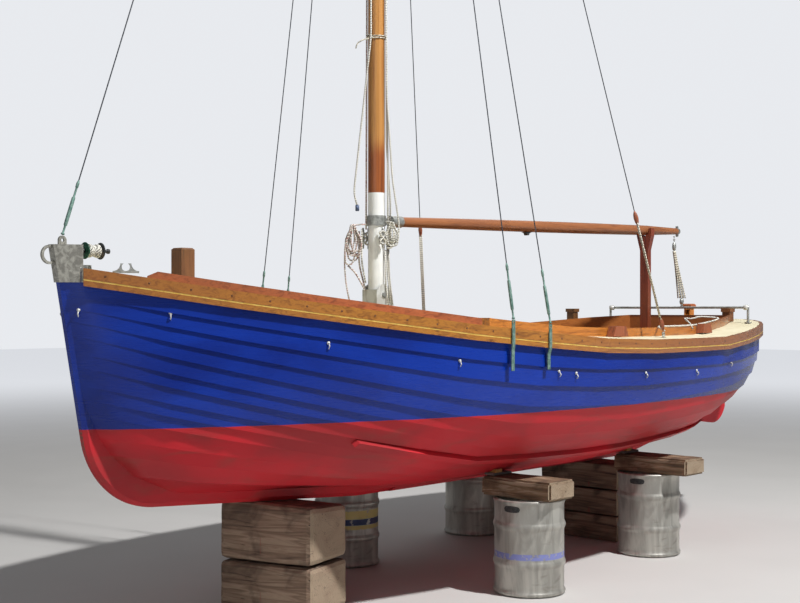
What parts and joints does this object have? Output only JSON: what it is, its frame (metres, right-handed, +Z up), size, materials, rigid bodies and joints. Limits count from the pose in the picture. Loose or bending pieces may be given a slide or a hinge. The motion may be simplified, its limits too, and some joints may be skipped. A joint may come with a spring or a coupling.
{
  "type": "gaff sloop",
  "caption": "Small open clinker built sailing boat with a wooden mast and boom, wide side decks and a cockpit, standing on timber baulks and metal kegs",
  "frame": {"origin": "middle of the underside of the supports' and boat's bounding box, on the floor", "axes": "+X towards the bow, +Y to port, +Z up"},
  "size_m": [6.3245, 2.2416, 8.25],
  "materials": {
    "blue_paint": "gloss blue paint over wood, lower part red",
    "red_paint": "red bottom paint over wood",
    "red_iron": "red bottom paint over iron",
    "honey_varnish": "varnished honey coloured wood",
    "spar_varnish": "varnished spruce",
    "red_board": "varnished red brown wood",
    "dark_wood": "dark oiled hardwood",
    "deck_paint": "cream deck paint",
    "galvanised": "weathered galvanised steel",
    "wire": "stainless wire",
    "rope": "laid rope and blocks",
    "dark_plastic": "dark green moulded plastic",
    "keg_metal": "worn brushed metal",
    "timber": "weathered rough timber"
  },
  "bodies": {
    "boat": {"aft_baulk_1": "timber", "aft_baulk_2": "timber", "aft_baulk_3": "timber", "bow_baulk_lower": "timber", "bow_baulk_upper": "timber", "sleepers": "timber", "packing": "timber", "port_kegs": "keg_metal", "starboard_kegs": "keg_metal", "backbone": "red_paint", "ballast_shoe": "red_iron", "bilge_strips": "red_paint", "port_planking": "blue_paint", "starboard_planking": "blue_paint", "deck": "deck_paint", "cockpit_sole": "deck_paint", "bench_fronts": "deck_paint", "benches": "honey_varnish", "bulkhead": "honey_varnish", "coaming": "honey_varnish", "rub_band": "honey_varnish", "coaming_chocks": "honey_varnish", "bitts": "honey_varnish", "samson_post": "honey_varnish", "toe_boards": "red_board", "mast": "spar_varnish", "boom_crutch": "dark_wood", "tabernacle": "galvanised", "tabernacle_bolt": "galvanised", "mast_bands": "galvanised", "gooseneck_pin": "galvanised", "chainplates": "galvanised", "shroud_screws": "galvanised", "forestay_screw": "galvanised", "forestay": "wire", "shrouds": "wire", "running_backstays": "wire", "backstay_tackles": "rope", "backstay_eyes": "galvanised", "mainsheet_horse": "galvanised", "stem_cap": "galvanised", "bow_ring": "galvanised", "bow_fairleads": "galvanised", "furling_drum": "dark_plastic", "rudder_heel": "galvanised", "rudder_trunk": "galvanised"},
    "boom": {"boom": "spar_varnish", "boom_tang": "galvanised", "boom_end_fitting": "galvanised", "boom_sheave": "dark_plastic"},
    "rudder": {"rudder_blade": "red_paint", "rudder_stock": "galvanised", "rudder_head": "honey_varnish", "rudder_cap": "red_board"}
  },
  "joints": [
    {"name": "boom_topping", "type": "hinge", "parent": "boat", "child": "boom", "pos_m": [0.87625, 0, 2.1], "axis": [0, 1, 0], "range_deg": [0, 50]},
    {"name": "rudder_swing", "type": "hinge", "parent": "boat", "child": "rudder", "pos_m": [-2.58575, 0, 1.2], "axis": [0, 0, 1], "range_deg": [-35, 35]}
  ]
}
